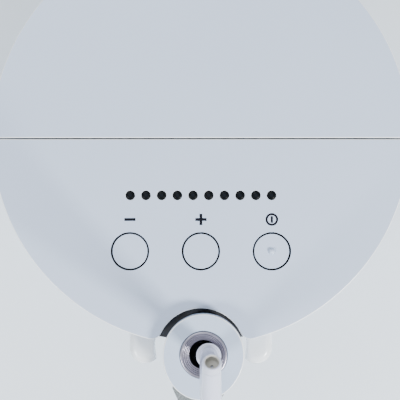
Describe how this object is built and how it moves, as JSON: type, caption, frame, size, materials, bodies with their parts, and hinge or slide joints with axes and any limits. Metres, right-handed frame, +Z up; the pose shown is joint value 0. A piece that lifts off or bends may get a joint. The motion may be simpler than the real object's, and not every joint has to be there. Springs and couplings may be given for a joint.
{
  "type": "countertop water flosser",
  "caption": "Round-topped countertop oral irrigator with lift-out tank, hinged lid, touch panel and a nozzle handle standing in a front cradle notch.",
  "frame": {"origin": "on the surface it stands on, under the middle of its box", "axes": "+Z up; the handle is at the front, -Y; the tank is at the rear, +Y; +X to the user's right"},
  "size_m": [0.16, 0.185, 0.2537],
  "materials": {
    "white_plastic": "fine satin moulding",
    "white_gloss": "gloss",
    "tank_plastic": "clear, faintly tinted",
    "dark_lens": "unlit, smoked",
    "grey_plastic": "stippled",
    "rubber": "matt",
    "seal_rubber": "matt",
    "collar_metal": "turned, ridged",
    "steel": "plated",
    "brass": "machined",
    "board_green": "solder mask",
    "nylon": "moulded",
    "clear_tube": "translucent",
    "nozzle_plastic": "translucent",
    "nozzle_tip": "soft"
  },
  "bodies": {
    "base": {"foot_front_left": "rubber", "foot_front_right": "rubber", "foot_rear_left": "rubber", "foot_rear_right": "rubber", "bottom_cover": "white_plastic", "cover_screw_1": "steel", "cover_screw_2": "steel", "cover_screw_3": "steel", "cover_screw_4": "steel", "base_housing": "white_plastic", "front_housing": "white_plastic", "cradle_arm_left": "white_gloss", "cradle_arm_right": "white_gloss", "cradle_liner": "rubber", "handle_cup": "white_plastic", "control_panel": "white_plastic", "minus_switch": "rubber", "plus_switch": "rubber", "power_switch": "rubber", "level_lights": "dark_lens", "display_board": "board_green", "control_board": "board_green", "pump_frame": "nylon", "pump_motor": "steel", "gear_axle": "steel", "pump_cylinder": "nylon", "pump_head": "white_plastic", "inlet_valve": "grey_plastic", "outlet_valve": "grey_plastic", "tank_socket": "grey_plastic", "suction_tube": "clear_tube", "discharge_tube": "clear_tube", "hose_gland": "white_plastic", "mains_inlet": "rubber"},
    "tank": {"water_tank": "tank_plastic", "spout_seal": "seal_rubber", "lid_hinge_pin": "steel"},
    "lid": {"tank_lid": "white_plastic"},
    "tank_valve": {"tank_valve": "grey_plastic"},
    "minus_button": {"minus_button": "white_plastic"},
    "plus_button": {"plus_button": "white_plastic"},
    "power_button": {"power_button": "white_plastic"},
    "gear": {"crank_gear": "nylon"},
    "pinion": {"motor_pinion": "brass"},
    "piston": {"pump_piston": "nylon"},
    "handle": {"handle_head": "white_gloss", "handle_front_shell": "white_gloss", "handle_rear_shell": "white_gloss", "handle_end_cap": "grey_plastic", "handle_hose_inlet": "brass", "handle_water_tube": "clear_tube", "handle_water_valve": "grey_plastic"},
    "pause_slider": {"pause_slider": "grey_plastic"},
    "release_button": {"release_button": "grey_plastic"},
    "collar": {"nozzle_collar": "collar_metal"},
    "nozzle": {"jet_nozzle_shaft": "nozzle_plastic", "nozzle_plug": "nozzle_plastic", "nozzle_seal": "seal_rubber", "nozzle_tip": "nozzle_tip"}
  },
  "joints": [
    {"name": "tank_lift", "type": "slide", "parent": "base", "child": "tank", "axis": [0, 0, 1], "range_m": [0, 0.09]},
    {"name": "lid_hinge", "type": "hinge", "parent": "tank", "child": "lid", "pos_m": [0, 0.0853, 0.1522], "axis": [-1, 0, 0], "range_deg": [0, 100]},
    {"name": "tank_valve_slide", "type": "slide", "parent": "tank", "child": "tank_valve", "axis": [0, 0, 1], "range_m": [0, 0.0014], "stiffness_N_per_m": 150, "springref_m": -0.002},
    {"name": "minus_press", "type": "slide", "parent": "base", "child": "minus_button", "axis": [0, 0, -1], "range_m": [0, 0.0008], "stiffness_N_per_m": 300, "springref_m": -0.001},
    {"name": "plus_press", "type": "slide", "parent": "base", "child": "plus_button", "axis": [0, 0, -1], "range_m": [0, 0.0008], "stiffness_N_per_m": 300, "springref_m": -0.001},
    {"name": "power_press", "type": "slide", "parent": "base", "child": "power_button", "axis": [0, 0, -1], "range_m": [0, 0.0008], "stiffness_N_per_m": 300, "springref_m": -0.001},
    {"name": "gear_turn", "type": "hinge", "parent": "base", "child": "gear", "pos_m": [-0.004, 0.0243, 0.0456], "axis": [0, 0, 1], "continuous": true},
    {"name": "pinion_turn", "type": "hinge", "parent": "base", "child": "pinion", "pos_m": [-0.024, 0.0243, 0.0456], "axis": [0, 0, 1], "continuous": true},
    {"name": "piston_stroke", "type": "slide", "parent": "base", "child": "piston", "axis": [-1, 0, 0], "range_m": [0, 0.008]},
    {"name": "handle_lift", "type": "slide", "parent": "base", "child": "handle", "axis": [0, 0, 1], "range_m": [0, 0.06]},
    {"name": "pause_slide", "type": "slide", "parent": "handle", "child": "pause_slider", "axis": [0, 0, 1], "range_m": [-0.003, 0.008]},
    {"name": "release_press", "type": "slide", "parent": "handle", "child": "release_button", "axis": [0.1392, 0.9903, 0], "range_m": [0, 0.0015], "stiffness_N_per_m": 300, "springref_m": -0.001},
    {"name": "collar_turn", "type": "hinge", "parent": "handle", "child": "collar", "pos_m": [0.001, -0.07, 0.1616], "axis": [0, 0, 1], "continuous": true},
    {"name": "nozzle_pull", "type": "slide", "parent": "collar", "child": "nozzle", "axis": [0, 0, 1], "range_m": [0, 0.03]}
  ],
  "couplings": [
    {"joint": "pinion_turn", "follows": "gear_turn", "ratio": -4}
  ]
}
